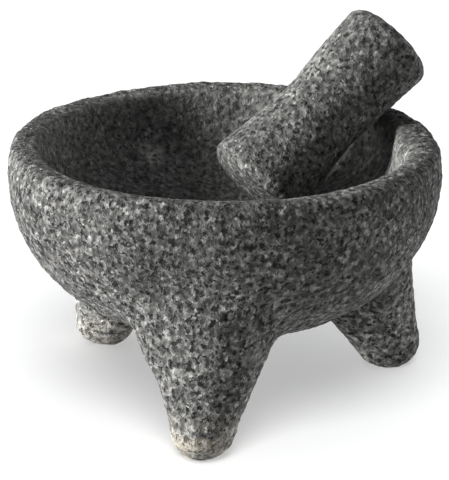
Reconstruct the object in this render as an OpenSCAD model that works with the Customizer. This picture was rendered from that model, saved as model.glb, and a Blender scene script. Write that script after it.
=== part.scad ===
// Molcajete: a three-legged mortar carved from one block of vesicular basalt, with its pestle, the tejolote.
// Millimetres, +Z up. The origin is on the ground, under the middle of the bowl.

/* [Bowl] */
// Outside diameter of the bowl at its widest
bowl_d = 200; // [192:1:216]
// Height of the rim above the ground
rim_h = 119; // [116:1:126]
// Height of the widest ring of the bowl
widest_h = 109; // [104:1:111]
// Height of the bowl's underside, between the legs
under_h = 35; // [30:1:38]
// Diameter of the hollow, inside the rim
hollow_d = 169; // [163:1:175]
// Depth of the hollow below the rim
hollow_depth = 48; // [44:1:52]

/* [Legs] */
// Distance from the bowl's axis to the middle of each foot
foot_circle_r = 81; // [74:1:83]
// Radius of the rounded foot
foot_r = 14.5; // [12:0.5:16]
// Radius of the flat worn under each foot
foot_flat_r = 8; // [5:0.5:10]
// Radius of a leg where it ends, inside the bowl's wall
leg_top_r = 30; // [26:1:32]
// Lean of a leg towards the bowl's axis, in degrees
leg_lean = 21; // [15:1:24]

/* [Tejolote] */
// Length of the tejolote, end to end
tejolote_l = 103; // [96:1:106]
// Diameter at the grinding end
head_d = 53; // [48:0.5:53.5]
// Diameter at the waist, where it is gripped
waist_d = 40.5; // [36:0.5:41]
// Diameter at the handle end
handle_d = 47; // [42:0.5:48]

/* [Hidden] */
$fn = 96;

stone_dark = [0.33, 0.33, 0.32];
stone_pale = [0.42, 0.42, 0.40];

bowl_r = bowl_d / 2;
hollow_r = hollow_d / 2;
curve_steps = 22;           // points along each carved curve

wall_fall = 2.0;            // how soon the outer wall turns in below its widest ring
wall_full = 2.8;            // how flat the underside is
hollow_full = 2.2;          // 2 is an ellipse, and more is a fuller hollow
rim_round = 8;              // width of the rounding outside the rim
edge_round = 3;             // radius of the rim's inner edge
round_steps = 6;

// Each leg's angle around the bowl, extra reach and size: carved by eye, so none is quite even
leg_angles = [264, 18, 137];
leg_reaches = [3, 0, 0];
leg_sizes = [1.1, 1, 1];
leg_top_h = 58;             // height of a leg's top end, inside the bowl's wall

waist_at = 0.5;             // place of the waist, as a share of the length from the grinding end
head_cap = 9;               // length of the rounded grinding end
handle_cap = 8;             // length of the rounded handle end
cap_full = 2.6;             // 2 is a round cap, and more is a flatter end with a tighter corner
flare_power = 1.4;          // how late the side swells towards either end
tejolote_steps = 44;

tejolote_foot = [10.5, 12.5, 90.6]; // middle of the grinding end, as it rests in the hollow
tejolote_lean = 51.7;               // away from upright
tejolote_turn = 29.5;               // direction of the lean, around the bowl

// Radius of the outer wall at share s, from 0 at the widest ring to 1 at the underside
function wall_r(s) = bowl_r * pow(1 - pow(s, wall_fall), 1 / wall_full);

function wall_points() = [
    for (i = [curve_steps : -1 : 0])
        let (s = sin(90 * i / curve_steps))
        [wall_r(s), widest_h - (widest_h - under_h) * s]
];

function rim_points() = [
    for (i = [1 : round_steps])
        let (a = 90 * i / round_steps)
        [bowl_r - rim_round * (1 - cos(a)), widest_h + (rim_h - widest_h) * sin(a)]
];

function edge_points() = [
    for (i = [0 : round_steps])
        let (a = 90 + 90 * i / round_steps)
        [hollow_r + edge_round * (1 + cos(a)), rim_h - edge_round * (1 - sin(a))]
];

function hollow_points() = [
    for (i = [1 : curve_steps])
        let (a = 90 * i / curve_steps, power = 2 / hollow_full)
        [
            i == curve_steps ? 0 : hollow_r * pow(cos(a), power),
            rim_h - edge_round - (hollow_depth - edge_round) * pow(sin(a), power)
        ]
];

// A leg is a tapered cone on a round foot, leaning in towards the bowl's axis
module leg(reach, size) {
    round_r = foot_r * size;
    foot_mid_h = sqrt(round_r * round_r - foot_flat_r * foot_flat_r);
    leg_l = (leg_top_h - foot_mid_h) / cos(leg_lean);
    translate([foot_circle_r + reach, 0, foot_mid_h])
        rotate([0, -leg_lean, 0]) {
            sphere(r = round_r);
            cylinder(h = leg_l, r1 = round_r, r2 = leg_top_r * size);
        }
}

// Bowl and legs are one stone, cut flat under the feet
module mortar() {
    color(stone_dark)
        difference() {
            union() {
                rotate_extrude()
                    polygon(concat(wall_points(), rim_points(), edge_points(), hollow_points()));
                for (i = [0 : len(leg_angles) - 1])
                    rotate([0, 0, leg_angles[i]]) leg(leg_reaches[i], leg_sizes[i]);
            }
            translate([-bowl_d, -bowl_d, -2 * foot_r])
                cube([2 * bowl_d, 2 * bowl_d, 2 * foot_r]);
        }
}

// Share of the full radius at share u of a rounded end's length
function cap(u) = u >= 1 ? 1 : pow(1 - pow(1 - u, cap_full), 1 / cap_full);

// Radius of the waisted side at height z above the grinding end
function side_r(z) =
    let (waist_z = waist_at * tejolote_l, end_r = z < waist_z ? head_d / 2 : handle_d / 2)
    let (reach = z < waist_z ? waist_z : tejolote_l - waist_z)
    waist_d / 2 + (end_r - waist_d / 2) * pow(abs(z - waist_z) / reach, flare_power);

function tejolote_points() = [
    for (i = [0 : tejolote_steps])
        let (z = tejolote_l * (1 - cos(180 * i / tejolote_steps)) / 2)
        [side_r(z) * cap(z / head_cap) * cap((tejolote_l - z) / handle_cap), z]
];

// The tejolote leans in the hollow, its handle over the rim
module tejolote() {
    color(stone_pale)
        translate(tejolote_foot)
            rotate([0, tejolote_lean, tejolote_turn])
                rotate_extrude()
                    polygon(tejolote_points());
}

mortar();
tejolote();
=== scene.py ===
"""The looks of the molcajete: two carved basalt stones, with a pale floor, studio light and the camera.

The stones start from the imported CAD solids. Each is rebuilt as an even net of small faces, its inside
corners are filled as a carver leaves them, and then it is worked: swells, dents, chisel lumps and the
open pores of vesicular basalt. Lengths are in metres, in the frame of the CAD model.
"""

import math

import bmesh
import bpy
import numpy as np
from mathutils import Euler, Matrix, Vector, noise


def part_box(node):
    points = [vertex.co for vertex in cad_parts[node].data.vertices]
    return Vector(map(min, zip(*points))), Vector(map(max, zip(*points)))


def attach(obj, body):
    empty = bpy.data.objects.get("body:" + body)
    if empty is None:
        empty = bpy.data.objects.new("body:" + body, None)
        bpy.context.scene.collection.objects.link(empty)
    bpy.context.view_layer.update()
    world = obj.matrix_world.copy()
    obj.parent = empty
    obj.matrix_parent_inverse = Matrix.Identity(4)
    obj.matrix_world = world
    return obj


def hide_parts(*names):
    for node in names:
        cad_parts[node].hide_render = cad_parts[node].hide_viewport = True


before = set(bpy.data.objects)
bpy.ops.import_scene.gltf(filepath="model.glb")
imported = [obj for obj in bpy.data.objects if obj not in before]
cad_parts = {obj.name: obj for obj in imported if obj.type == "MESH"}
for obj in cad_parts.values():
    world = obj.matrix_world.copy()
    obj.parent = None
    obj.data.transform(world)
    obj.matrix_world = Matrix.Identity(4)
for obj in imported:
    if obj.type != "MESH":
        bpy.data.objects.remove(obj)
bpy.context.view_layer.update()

MM = 0.001
mortar_lo, mortar_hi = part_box("mortar")
RIM_HEIGHT = mortar_hi.z
BOWL_RADIUS = (mortar_hi.x - mortar_lo.x) / 2

# Distance between the points of each net. The mortar's corners are filled on the coarse one.
COARSE_NET = 2.2 * MM
MORTAR_NET = 1.3 * MM
TEJOLOTE_NET = 0.75 * MM


# ---------------------------------------------------------------- nets of points


def even_net(mesh, spacing):
    """A new mesh with the shape of this one, its points about spacing apart."""
    holder = bpy.data.objects.new("holder", mesh)
    bpy.context.scene.collection.objects.link(holder)
    remesh = holder.modifiers.new("net", "REMESH")
    remesh.mode = "VOXEL"
    remesh.voxel_size = spacing
    graph = bpy.context.evaluated_depsgraph_get()
    net = bpy.data.meshes.new_from_object(holder.evaluated_get(graph))
    bpy.data.objects.remove(holder)
    return net


def read_points(mesh):
    points = np.empty(len(mesh.vertices) * 3)
    mesh.vertices.foreach_get("co", points)
    return points.reshape(-1, 3)


def read_edges(mesh):
    edges = np.empty(len(mesh.edges) * 2, dtype=np.int32)
    mesh.edges.foreach_get("vertices", edges)
    return edges.reshape(-1, 2)


def write_points(mesh, points):
    mesh.vertices.foreach_set("co", points.ravel())
    mesh.update()


def normals_at(mesh, points):
    write_points(mesh, points)
    normals = np.empty(len(points) * 3)
    mesh.vertex_normals.foreach_get("vector", normals)
    return normals.reshape(-1, 3)


def neighbour_mean(points, edges):
    """The mean of each point's neighbours along the net."""
    first, second = edges[:, 0], edges[:, 1]
    total = np.empty_like(points)
    for axis in range(3):
        ahead = np.bincount(first, points[second, axis], len(points))
        behind = np.bincount(second, points[first, axis], len(points))
        total[:, axis] = ahead + behind
    return total / np.bincount(edges.ravel(), minlength=len(points))[:, None]


def fill_creases(mesh, points, share, steps):
    """Rounds inside corners by raising points that lie in a hollow; share, 0 to 1, says where."""
    edges = read_edges(mesh)
    pace = 0.7
    for _ in range(steps):
        normals = normals_at(mesh, points)
        rise = ((neighbour_mean(points, edges) - points) * normals).sum(axis=1)
        points = points + normals * (np.maximum(rise, 0) * share * pace)[:, None]
    return points


def soften(mesh, points, steps):
    """Wears every corner down a little, inside and out."""
    edges = read_edges(mesh)
    pace = 0.6
    for _ in range(steps):
        points = points + (neighbour_mean(points, edges) - points) * pace
    return points


def smooth_step(value, start, end):
    """0 at start, 1 at end, and a smooth run between them. The start may be the higher one."""
    t = np.clip((value - start) / (end - start), 0, 1)
    return t * t * (3 - 2 * t)


# ---------------------------------------------------------------- stone working


def lumps(points, size, seed):
    """Smooth noise from about -1 to 1, with lumps about size across."""
    shift = Vector((seed * 17.31, seed * 5.17, seed * 29.73))
    return np.array([noise.noise(Vector(point) / size + shift) for point in points])


def pores(points, cell, widest, share, seed):
    """Depth from 0 to 1 in ragged pores, at most one in each cell; share is how many cells have one.

    The seed fixes which cells have a pore. It doesn't fix the ragged edges, or the places to within about
    a fifth of a cell: noise_vector adds a random offset of its own in each new run of Blender.
    """
    shift = Vector((seed * 11.71, seed * 3.37, seed * 7.93))
    raggedness = 0.22
    near = np.empty(len(points))
    middles = np.empty((len(points), 3))
    for i, point in enumerate(points):
        place = Vector(point) / cell
        wander = raggedness * noise.noise_vector(place * 2.3)
        distances, places = noise.voronoi(place + shift + wander)
        near[i] = distances[0]
        middles[i] = places[0]
    # A number from 0 to 1 that is the same for every point of a pore and differs between pores
    chance = np.modf(np.abs(np.sin(middles @ np.array([127.1, 311.7, 74.7])) * 43758.5))[0]
    width = widest / cell * (0.4 + 0.6 * (chance / share) ** 2)
    depth = np.clip(1 - (near / width) ** 2, 0, 1)
    return np.where(chance < share, depth, 0)


def push(points, place, direction, reach):
    """Moves the points near place along direction, fading out over reach: a dent or a swell."""
    away = np.linalg.norm(points - np.array(place), axis=1)
    return points + np.exp(-((away / reach) ** 2))[:, None] * np.array(direction)


def touch_up(points, touches):
    """Pushes at each of a list of places: place, movement there and reach, in millimetres."""
    for place, move, reach in touches:
        points = push(points, np.array(place) * MM, np.array(move) * MM, reach * MM)
    return points


def roughen(mesh, points, swell, chisel, grit, seed):
    """Works the surface: wide swells, chisel lumps and grit, each with its height in metres."""
    normals = normals_at(mesh, points)
    height = swell * lumps(points, 55 * MM, seed)
    height += chisel * lumps(points, 13 * MM, seed + 1)
    height += chisel * 0.6 * lumps(points, 6 * MM, seed + 2)
    height += grit * lumps(points, 2.6 * MM, seed + 3)
    return points + normals * height[:, None]


def open_pores(mesh, points, cell, widest, depth, share, seed):
    """Sinks pores into the surface, and returns the points and how deep each lies in a pore."""
    normals = normals_at(mesh, points)
    sunk = pores(points, cell, widest, share, seed)
    return points - normals * (sunk * depth)[:, None], sunk


def paint(mesh, name, values):
    """Keeps one number per point, which the material reads by name."""
    layer = mesh.attributes.new(name, "FLOAT", "POINT")
    layer.data.foreach_set("value", values.astype(np.float32))


def stone_piece(node, mesh):
    """Puts the mesh in the scene as the piece that is seen in place of the CAD node."""
    mesh.name = node + "_stone"
    mesh.materials.clear()
    mesh.shade_smooth()
    piece = bpy.data.objects.new(mesh.name, mesh)
    bpy.context.scene.collection.objects.link(piece)
    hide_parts(node)
    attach(piece, node)
    return piece


# ---------------------------------------------------------------- the mortar

HOLLOW_FLOOR = RIM_HEIGHT - 48 * MM
SOLE = 0.4 * MM  # points of a foot below this stand on the ground

# Touches on the mortar, in millimetres: place, movement there, and how far it reaches
MORTAR_TOUCHES = (
    ((80, 5, 113), (-6.5, 0, 0), 14),  # rim thicker inwards, to the right of the tejolote
    ((-28, -91, 82), (0.5, 2.4, 0), 7),  # dent above the front leg
    ((-34, -86, 76), (0.6, 1.4, 0.2), 6),
    ((2, -96, 28), (0, 2.0, 0), 5),  # dent low on the front leg
    ((-42, -77, 62), (-2.4, -1.0, 0), 13),  # ridge down the front leg's left side
    ((-36, -77, 46), (-2.0, -0.7, 0), 11),
    ((-9, -94, 5), (-1.2, -3.6, 0), 17),  # the front foot reaches further
    ((88, 26, 8), (2.0, -1.6, 0), 15),  # and so does the right one
    ((-48, 44, 7), (1.8, -2.6, 0), 14),  # the left foot is wider on its inner side
)

# Middle and reach of a pale round spot on the back of the hollow
PALE_SPOT = np.array((-36, 65, 92)) * MM
PALE_SPOT_REACH = 5 * MM


def radius(points):
    """Distance from the bowl's axis."""
    return np.hypot(points[:, 0], points[:, 1])


def hollow_edge(height):
    """Radius half way between the hollow and the outer wall."""
    return 78 * MM + (height - (HOLLOW_FLOOR - 2 * MM)) * 0.25


def crease_share(points):
    """How far each point's corner is filled: the most where the legs meet the bowl."""
    height = points[:, 2]
    below_wall = smooth_step(height, 90 * MM, 74 * MM)
    above_legs = smooth_step(height, 42 * MM, 56 * MM)
    inside = (height > HOLLOW_FLOOR - 2 * MM) & (radius(points) < hollow_edge(height))
    return np.where(inside, 0, below_wall * (0.2 + 0.8 * above_legs))


def square_rim(points):
    """Fills out the rounding outside the rim, so that the rim's top is flat almost to its edge."""
    out = radius(points)
    away = np.hypot(out - 95 * MM, points[:, 2] - (RIM_HEIGHT - 4 * MM))
    near = np.exp(-((away / (4.5 * MM)) ** 2))
    filled = points.copy()
    filled[:, :2] *= (1 + near * MM / np.maximum(out, MM))[:, None]
    filled[:, 2] += near * 2 * MM
    return filled


def paint_mortar(mesh, points, in_hollow, sunk):
    """Marks where the stone is in a pore, ground smooth, pale or dusty. The pale mark is partly painted
    light.
    """
    low = smooth_step(points[:, 2], 84 * MM, 16 * MM)
    at_left_leg = smooth_step(points[:, 0], -34 * MM, -52 * MM)
    off_right_leg = smooth_step(points[:, 0], 58 * MM, 40 * MM)
    spot = np.exp(-((np.linalg.norm(points - PALE_SPOT, axis=1) / PALE_SPOT_REACH) ** 2))
    foot_dust = smooth_step(points[:, 2], 26 * MM, 4 * MM)
    paint(mesh, "pore", sunk)
    paint(mesh, "ground_smooth", in_hollow)
    # Pale mark: paler ground stone in the hollow that also stands in for the fill light there (painted
    # light); lighter towards the bottom; lighter again on the left leg, which faces the lamps (painted
    # light); and a pale round spot
    paint(mesh, "pale", 0.42 * in_hollow + 0.42 * low * (1 + 0.9 * at_left_leg) + 0.9 * spot)
    paint(mesh, "dust", foot_dust * off_right_leg * (1 - 0.35 * at_left_leg))


def make_mortar():
    """One stone: the bowl and its three legs."""
    rough_net = even_net(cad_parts["mortar"].data, COARSE_NET)
    points = read_points(rough_net)
    points = fill_creases(rough_net, points, crease_share(points), steps=110)
    write_points(rough_net, points)

    mesh = even_net(rough_net, MORTAR_NET)
    points = soften(mesh, read_points(mesh), steps=6)
    above_floor = smooth_step(points[:, 2], HOLLOW_FLOOR - 4 * MM, HOLLOW_FLOOR)
    in_hollow = above_floor * smooth_step(radius(points), 92 * MM, 85 * MM)
    points = square_rim(touch_up(points, MORTAR_TOUCHES))

    sole = points[:, 2] < SOLE
    worked = (1 - 0.6 * in_hollow) * MM
    points = roughen(mesh, points, swell=1.2 * worked, chisel=0.5 * worked, grit=0.45 * worked, seed=3)
    points, sunk = open_pores(mesh, points, 4.6 * MM, 2.0 * MM, depth=1.3 * worked, share=0.35, seed=5)
    points[:, 2] = np.where(sole, 0, np.maximum(points[:, 2], 0))
    write_points(mesh, points)
    paint_mortar(mesh, points, in_hollow, sunk)
    return stone_piece("mortar", mesh)


# ---------------------------------------------------------------- the tejolote

TEJOLOTE_TOUCHES = (
    ((58, 20, 162), (-2.6, -0.4, 2.2), 26),  # handle thicker at its upper left
)


def make_tejolote():
    """The pestle, worn smoother by the hand than the mortar's wall."""
    mesh = even_net(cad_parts["tejolote"].data, TEJOLOTE_NET)
    points = soften(mesh, read_points(mesh), steps=6)
    points = touch_up(points, TEJOLOTE_TOUCHES)
    points = roughen(mesh, points, swell=0.7 * MM, chisel=0.35 * MM, grit=0.28 * MM, seed=11)
    points, sunk = open_pores(mesh, points, 3.6 * MM, 1.3 * MM, depth=0.8 * MM, share=0.3, seed=13)
    write_points(mesh, points)
    paint(mesh, "pore", sunk)
    paint(mesh, "ground_smooth", np.full(len(points), 0.35))
    paint(mesh, "pale", np.zeros(len(points)))
    paint(mesh, "dust", np.zeros(len(points)))
    return stone_piece("tejolote", mesh)


# ---------------------------------------------------------------- shader nodes


def add(tree, kind, inputs=None, **settings):
    """Adds a node. An input is a number, a colour or the socket that feeds it."""
    node = tree.nodes.new(kind)
    for name, value in settings.items():
        setattr(node, name, value)
    for name, value in (inputs or {}).items():
        if isinstance(value, bpy.types.NodeSocket):
            tree.links.new(value, node.inputs[name])
        else:
            node.inputs[name].default_value = value
    return node


def calculate(tree, operation, first, second=0.0):
    return add(tree, "ShaderNodeMath", {0: first, 1: second}, operation=operation).outputs[0]


def multiply(tree, first, second):
    return calculate(tree, "MULTIPLY", first, second)


def subtract(tree, first, second):
    return calculate(tree, "SUBTRACT", first, second)


def total(tree, values):
    result = values[0]
    for value in values[1:]:
        result = calculate(tree, "ADD", result, value)
    return result


def largest(tree, values):
    result = values[0]
    for value in values[1:]:
        result = calculate(tree, "MAXIMUM", result, value)
    return result


def remap(tree, value, low, high, to_low=0.0, to_high=1.0, **settings):
    """Runs from to_low where value is low to to_high where it is high."""
    settings.setdefault("interpolation_type", "SMOOTHSTEP")
    limits = {"Value": value, "From Min": low, "From Max": high, "To Min": to_low, "To Max": to_high}
    return add(tree, "ShaderNodeMapRange", limits, **settings).outputs["Result"]


def blend_colours(tree, factor, first, second, how="MIX"):
    node = add(tree, "ShaderNodeMix", {0: factor, 6: first, 7: second}, data_type="RGBA", blend_type=how)
    return node.outputs[2]


def painted(tree, name):
    return add(tree, "ShaderNodeAttribute", attribute_name=name).outputs["Fac"]


def fleck_noise(tree, place, scale, detail=2.0, roughness=0.5):
    inputs = {"Vector": place, "Scale": scale, "Detail": detail, "Roughness": roughness}
    return add(tree, "ShaderNodeTexNoise", inputs).outputs["Fac"]


def cells_at(tree, place, scale):
    """Distance to the middle of the nearest cell, and a number from 0 to 1 that is the cell's own."""
    cells = add(tree, "ShaderNodeTexVoronoi", {"Vector": place, "Scale": scale})
    own = add(tree, "ShaderNodeSeparateColor", {"Color": cells.outputs["Color"]}).outputs["Red"]
    return cells.outputs["Distance"], own


def pit_mask(tree, place, scale, share, widest, edge):
    """1 in round pits and 0 between them: one pit in a share of the cells, widest in cells."""
    distance, own = cells_at(tree, place, scale)
    width = remap(tree, own, 1 - share, 1.0, 0.0, widest, interpolation_type="LINEAR", clamp=False)
    return remap(tree, subtract(tree, width, distance), 0.0, edge)


def shifted(tree, place, by):
    return add(tree, "ShaderNodeVectorMath", {0: place, 1: by}, operation="ADD").outputs[0]


def ragged(tree, place, scale, reach):
    """The same place, wandering by up to reach, so that round cells get uneven edges."""
    wander = add(tree, "ShaderNodeTexNoise", {"Vector": place, "Scale": scale, "Detail": 2}).outputs["Color"]
    centred = shifted(tree, wander, (-0.5, -0.5, -0.5))
    shift = add(tree, "ShaderNodeVectorMath", {0: centred, "Scale": reach}, operation="SCALE").outputs[0]
    return shifted(tree, place, shift)


def grey(value, warmth=0.0):
    """A grey of that brightness, a little yellow where warmth is above 0."""
    return (value * (1 + warmth), value, value * (1 - 1.6 * warmth), 1)


# ---------------------------------------------------------------- basalt

# How many waves or cells of each kind lie in a metre of stone
WANDER_SCALE = 1150
WALL_SCALE = 240
LUMP_SCALE = 330
GRAIN_SCALE = 500
SMALL_PIT_SCALE = 430
CRYSTAL_SCALE = 410
DRIFT_SCALE = 22
DUST_SCALE = 160

# Round pits: cells in a metre, share of cells with a pit, and the pit's radius and edge in cells
PIT_SIZES = ((340, 0.4, 0.47, 0.2), (185, 0.3, 0.36, 0.12))
# Painted shade: the near black that the pits are mixed towards, standing in for the shade inside them
PIT_PAINTED_SHADE = grey(0.004)

STONE_TINT = (1.01, 1.0, 0.955, 1)
DUST_COLOUR = (0.46, 0.42, 0.33, 1)
BRIGHTEST_STONE = 0.7
BUMP_HEIGHT = 1.1 * MM


def stone_relief(tree, uneven, rough):
    """Thin walls of stone, single grains and lumps of them: above 0 where it stands proud."""
    inputs = {"Vector": uneven, "Scale": WALL_SCALE, "Detail": 2, "Roughness": 0.6, "Offset": 1, "Gain": 1.2}
    ridges = add(tree, "ShaderNodeTexNoise", inputs, noise_type="RIDGED_MULTIFRACTAL", normalize=False)
    walls = multiply(tree, subtract(tree, ridges.outputs["Fac"], 1.3), 0.5)
    grains = multiply(tree, subtract(tree, cells_at(tree, uneven, GRAIN_SCALE)[1], 0.5), 1.2)
    lumpy = multiply(tree, subtract(tree, fleck_noise(tree, uneven, LUMP_SCALE, 3, 0.65), 0.5), 4.2)
    return multiply(tree, total(tree, [walls, grains, lumpy]), rough)


def stone_pits(tree, place, rough):
    """1 in the open pits: round ones of two sizes, small ragged ones, and the pores in the mesh."""
    apart = shifted(tree, ragged(tree, place, 700, 2.2 * MM), (0.3131, 0.1717, 0.4343))
    pits = [pit_mask(tree, apart, *size) for size in PIT_SIZES]
    pits.append(remap(tree, fleck_noise(tree, apart, SMALL_PIT_SCALE, 2), 0.42, 0.36))
    pits = multiply(tree, largest(tree, pits), rough)
    return largest(tree, [pits, remap(tree, painted(tree, "pore"), 0.5, 1.0)])


def stone_colour(tree, place, relief, pits, value):
    """Random grain tone, painted lighter where the stone stands proud and darker where it lies low as
    painted light and shade, with the pale mark, slow drifts of tone, pale crystals, dust, and the pits
    painted near black as painted shade.
    """
    # Partly painted light and shade: the random grain tone, which also sets the bump, makes the stone
    # lighter where it stands proud and darker where it lies low; the pale mark adds its painted light
    brightness = calculate(tree, "ADD", relief, painted(tree, "pale"))
    tone = multiply(tree, calculate(tree, "EXPONENT", brightness), value)
    tone = calculate(tree, "MINIMUM", tone, BRIGHTEST_STONE)
    stone = add(tree, "ShaderNodeCombineColor", {"Red": tone, "Green": tone, "Blue": tone}).outputs["Color"]
    drift = remap(tree, fleck_noise(tree, place, DRIFT_SCALE, 3), 0.3, 0.7, 0.8, 1.2)
    stone = blend_colours(tree, 1.0, stone, drift, "MULTIPLY")
    stone = blend_colours(tree, 1.0, stone, STONE_TINT, "MULTIPLY")

    crystals = multiply(tree, pit_mask(tree, place, CRYSTAL_SCALE, 0.2, 0.45, 0.2), 0.7)
    stone = blend_colours(tree, crystals, stone, grey(value * 3.4, 0.01))

    dust = painted(tree, "dust")
    patches = remap(tree, fleck_noise(tree, place, DUST_SCALE, 3), 0.3, 0.65)
    stone = blend_colours(tree, multiply(tree, multiply(tree, dust, patches), 0.5), stone, DUST_COLOUR)
    # Painted shade: the pits are mixed towards near black, a little less where dust lies in them
    dark = multiply(tree, pits, subtract(tree, 0.92, multiply(tree, dust, 0.4)))
    return blend_colours(tree, dark, stone, PIT_PAINTED_SHADE)


def make_basalt(name, value):
    """Vesicular basalt: grains and thin walls of stone between open pits; value is its brightness."""
    material = bpy.data.materials.new(name)
    material.use_nodes = True
    tree = material.node_tree
    tree.nodes.clear()

    place = add(tree, "ShaderNodeTexCoord").outputs["Object"]
    uneven = ragged(tree, place, WANDER_SCALE, 1.0 * MM)
    rough = subtract(tree, 1.0, multiply(tree, painted(tree, "ground_smooth"), 0.4))
    relief = stone_relief(tree, uneven, rough)
    pits = stone_pits(tree, place, rough)

    height = subtract(tree, multiply(tree, relief, 0.4), pits)
    bump = add(tree, "ShaderNodeBump", {"Strength": 1.0, "Distance": BUMP_HEIGHT, "Height": height})
    inputs = {
        "Base Color": stone_colour(tree, place, relief, pits, value),
        "Roughness": remap(tree, relief, -0.6, 0.6, 0.96, 0.84),
        "Normal": bump.outputs["Normal"],
        "Specular IOR Level": 0.25,
    }
    shader = add(tree, "ShaderNodeBsdfPrincipled", inputs)
    add(tree, "ShaderNodeOutputMaterial", {"Surface": shader.outputs["BSDF"]})
    return material


# ---------------------------------------------------------------- the studio

# The camera stands in front, about 1.3 m from the stones, and looks down by CAMERA_PITCH
CAMERA_PLACE = Vector((0, -1.2294, 0.4974))
CAMERA_PITCH = 0.3341  # radians
CAMERA_LENS = 209.7  # millimetres, like the sensor
SENSOR_WIDTH = 36.0

FLOOR_REACH = 48 * BOWL_RADIUS


def make_camera():
    data = bpy.data.cameras.new("camera")
    data.sensor_width = SENSOR_WIDTH
    data.lens = CAMERA_LENS
    camera = bpy.data.objects.new("camera", data)
    camera.location = CAMERA_PLACE
    camera.rotation_euler = Euler((math.pi / 2 - CAMERA_PITCH, 0, 0))
    bpy.context.scene.collection.objects.link(camera)
    bpy.context.scene.camera = camera


def make_floor_paper():
    material = bpy.data.materials.new("floor_paper")
    material.use_nodes = True
    tree = material.node_tree
    shader = tree.nodes["Principled BSDF"]
    shader.inputs["Roughness"].default_value = 0.9
    shader.inputs["Specular IOR Level"].default_value = 0.1
    place = add(tree, "ShaderNodeTexCoord").outputs["Object"]
    paper = blend_colours(tree, fleck_noise(tree, place, 3), grey(0.86), grey(0.88))
    tree.links.new(paper, shader.inputs["Base Color"])
    return material


def make_floor():
    """A plain pale floor, wide enough to fill every view."""
    mesh = bpy.data.meshes.new("floor")
    net = bmesh.new()
    signs = ((-1, -1), (1, -1), (1, 1), (-1, 1))
    net.faces.new([net.verts.new((x * FLOOR_REACH, y * FLOOR_REACH, 0)) for x, y in signs])
    net.to_mesh(mesh)
    net.free()
    mesh.materials.append(make_floor_paper())
    floor = bpy.data.objects.new("floor", mesh)
    bpy.context.scene.collection.objects.link(floor)
    return floor


def make_sun(name, azimuth, elevation, strength, softness, lit, shadow=True):
    """A far lamp. Azimuth 0 is in front and 90 to the right; lit is the list of objects it shines on."""
    data = bpy.data.lights.new(name, "SUN")
    data.energy = strength
    data.angle = math.radians(softness)
    data.use_shadow = shadow
    lamp = bpy.data.objects.new(name, data)
    a, e = math.radians(azimuth), math.radians(elevation)
    towards = Vector((math.sin(a) * math.cos(e), -math.cos(a) * math.cos(e), math.sin(e)))
    lamp.rotation_mode = "QUATERNION"
    lamp.rotation_quaternion = towards.to_track_quat("Z", "Y")
    lamp.location = towards
    bpy.context.scene.collection.objects.link(lamp)
    receivers = bpy.data.collections.new(name + "_lights")
    for piece in lit:
        receivers.objects.link(piece)
    lamp.light_linking.receiver_collection = receivers


def make_light(stones, floor):
    """A wide low lamp from the left, weaker ones from behind on both sides, and lamps for the floor."""
    make_sun("key_front", azimuth=-70, elevation=14, strength=2.6, softness=16, lit=stones)
    make_sun("key_left", azimuth=-76, elevation=20, strength=7.4, softness=20, lit=stones)
    make_sun("left_edge", azimuth=-120, elevation=6, strength=4.6, softness=40, lit=stones)
    make_sun("right_edge", azimuth=118, elevation=3, strength=2.8, softness=40, lit=stones)
    make_sun("overhead", azimuth=-8, elevation=54, strength=1.75, softness=34, lit=[floor])
    make_sun("floor_fill", azimuth=0, elevation=90, strength=1.7, softness=60, lit=[floor], shadow=False)
    world = bpy.data.worlds.new("studio")
    world.use_nodes = True
    background = world.node_tree.nodes["Background"]
    background.inputs["Color"].default_value = (0.96, 0.98, 1.0, 1)
    background.inputs["Strength"].default_value = 0.3
    bpy.context.scene.world = world
    bpy.context.scene.view_settings.view_transform = "Standard"


mortar = make_mortar()
tejolote = make_tejolote()
mortar.data.materials.append(make_basalt("mortar_basalt", value=0.072))
tejolote.data.materials.append(make_basalt("tejolote_basalt", value=0.086))
make_camera()
make_light([mortar, tejolote], make_floor())
